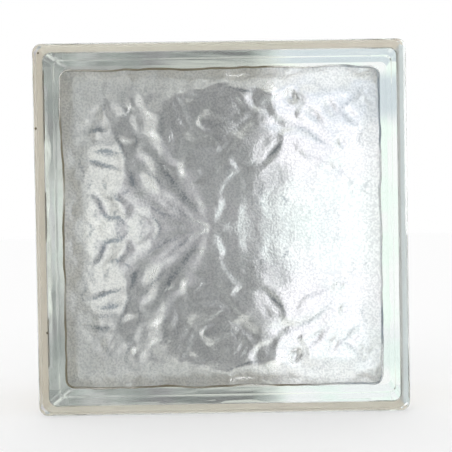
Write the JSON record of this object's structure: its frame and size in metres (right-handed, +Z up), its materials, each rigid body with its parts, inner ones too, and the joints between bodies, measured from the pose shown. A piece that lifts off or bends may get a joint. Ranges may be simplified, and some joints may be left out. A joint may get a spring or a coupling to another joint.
{
  "type": "hollow glass block",
  "caption": "Square hollow glass building block with smooth faces, an ice-like relief pressed inside them and a lipped mortar channel round the edge.",
  "frame": {"origin": "under the middle of the block, on the level it stands on", "axes": "+X across the face to the right, +Y from the front face to the back face, +Z up"},
  "size_m": [0.19, 0.08, 0.19],
  "materials": {
    "glass": "clear pressed glass with a faint green cast, smooth outside, crinkled and finely stippled inside",
    "coating": "thin matt cream bonding coat, a little uneven, with small dark specks"
  },
  "bodies": {
    "root": {"front_half": "glass", "back_half": "glass", "edge_coating": "coating"}
  },
  "joints": []
}
